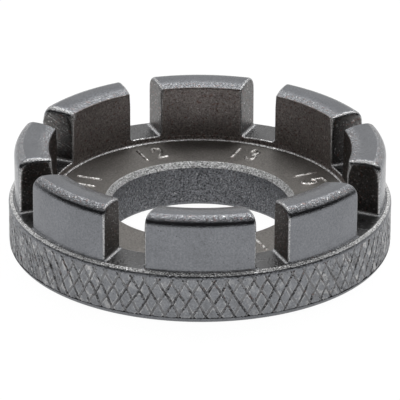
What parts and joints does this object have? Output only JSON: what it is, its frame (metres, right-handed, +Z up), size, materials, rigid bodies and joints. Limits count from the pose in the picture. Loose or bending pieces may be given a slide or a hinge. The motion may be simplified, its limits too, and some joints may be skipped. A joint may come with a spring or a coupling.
{
  "type": "spoke wrench",
  "caption": "Ring spoke wrench: a knurled ring with a flat web and a centre bore, crowned by rounded jaws with a straight slot between each pair for a spoke nipple's flats.",
  "frame": {"origin": "centre of the bore on the flat underside", "axes": "+Z up along the bore axis, out of the jaws; -Y faces the viewer of the picture, +X to the right"},
  "size_m": [0.04, 0.04, 0.0115],
  "materials": {
    "plated_steel": "dark nickel-chrome plating over a fine as-sintered skin, satin",
    "knurled_steel": "the same dark plating over a diamond knurl"
  },
  "bodies": {
    "root": {"web_disc": "plated_steel", "rim_ring": "plated_steel", "knurled_grip": "knurled_steel", "jaw_1": "plated_steel", "jaw_2": "plated_steel", "jaw_3": "plated_steel", "jaw_4": "plated_steel", "jaw_5": "plated_steel", "jaw_6": "plated_steel", "jaw_7": "plated_steel", "jaw_8": "plated_steel"}
  },
  "joints": []
}
